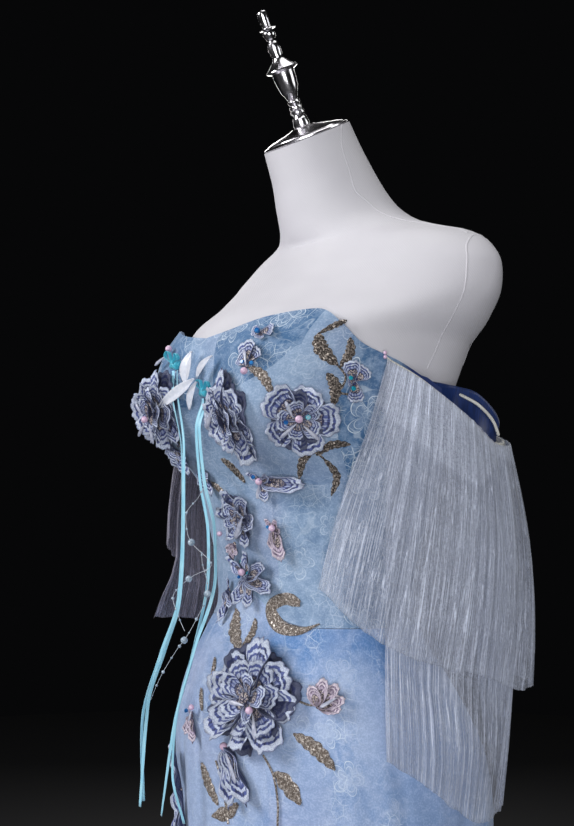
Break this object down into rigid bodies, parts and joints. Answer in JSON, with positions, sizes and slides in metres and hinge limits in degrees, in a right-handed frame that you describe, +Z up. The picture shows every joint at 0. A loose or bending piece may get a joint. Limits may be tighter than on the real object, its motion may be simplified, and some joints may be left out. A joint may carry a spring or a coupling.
{
  "type": "mermaid gown on dress form",
  "caption": "Strapless mermaid gown of pale blue tulle with raised flower appliques, off-shoulder pleated sleeves and hanging ribbons, worn by a limbless dress form on a stand",
  "frame": {"origin": "centre of the underside of the stand's round base, on the floor", "axes": "+Z up, -Y the gown's front, +X the wearer's left"},
  "size_m": [0.8376, 0.8105, 1.6606],
  "materials": {
    "form_cloth": "fine white knit, stretched smooth",
    "chrome": "dark polished",
    "bodice_tulle": "pale steel-blue tulle over blue lining",
    "skirt_tulle": "soft blue tulle with flat lace",
    "sleeve_tulle": "sheer crushed pleats",
    "petal_lace": "thick lilac and navy embroidery",
    "leaf_glitter": "bronze glitter embroidery",
    "ribbon": "satin"
  },
  "bodies": {
    "root": {"bodice_back_left": "bodice_tulle", "bodice_back_right": "bodice_tulle", "bodice_centre_front": "bodice_tulle", "bodice_cup_band_left": "bodice_tulle", "bodice_cup_band_right": "bodice_tulle", "bodice_cup_left": "bodice_tulle", "bodice_cup_right": "bodice_tulle", "bodice_side_front_left": "bodice_tulle", "bodice_side_front_right": "bodice_tulle", "bodice_side_left": "bodice_tulle", "bodice_side_right": "bodice_tulle", "bud_centre": "petal_lace", "flower_bud_low": "petal_lace", "flower_bust_left": "petal_lace", "flower_bust_right": "petal_lace", "flower_centre": "petal_lace", "flower_cup": "petal_lace", "flower_cup_side": "petal_lace", "flower_hip": "petal_lace", "flower_hip_far": "petal_lace", "flower_hip_side": "petal_lace", "flower_long_petals": "petal_lace", "flower_neckline": "petal_lace", "flower_star": "petal_lace", "flower_underbust": "petal_lace", "form_finial": "chrome", "form_neck_cap": "chrome", "form_torso": "form_cloth", "knot_left": "ribbon", "knot_right": "ribbon", "leaf_cup_top": "leaf_glitter", "leaf_hip": "leaf_glitter", "leaf_low": "leaf_glitter", "leaf_neckline": "leaf_glitter", "leaf_side_front": "leaf_glitter", "leaf_under_cup": "leaf_glitter", "leaf_underbust": "leaf_glitter", "leaf_waist": "leaf_glitter", "leaf_waist_scroll": "leaf_glitter", "ribbon_left_inner": "ribbon", "ribbon_left_outer": "ribbon", "ribbon_right_inner": "ribbon", "ribbon_right_outer": "ribbon", "skirt_back_left": "skirt_tulle", "skirt_back_right": "skirt_tulle", "skirt_front": "skirt_tulle", "skirt_side_back_left": "skirt_tulle", "skirt_side_back_right": "skirt_tulle", "skirt_side_front_left": "skirt_tulle", "skirt_side_front_right": "skirt_tulle", "sleeve_band_left": "sleeve_tulle", "sleeve_band_right": "sleeve_tulle", "sleeve_lower_left": "sleeve_tulle", "sleeve_lower_right": "sleeve_tulle", "sleeve_upper_left": "sleeve_tulle", "sleeve_upper_right": "sleeve_tulle", "stand_base": "chrome", "stand_pole": "chrome"}
  },
  "joints": []
}
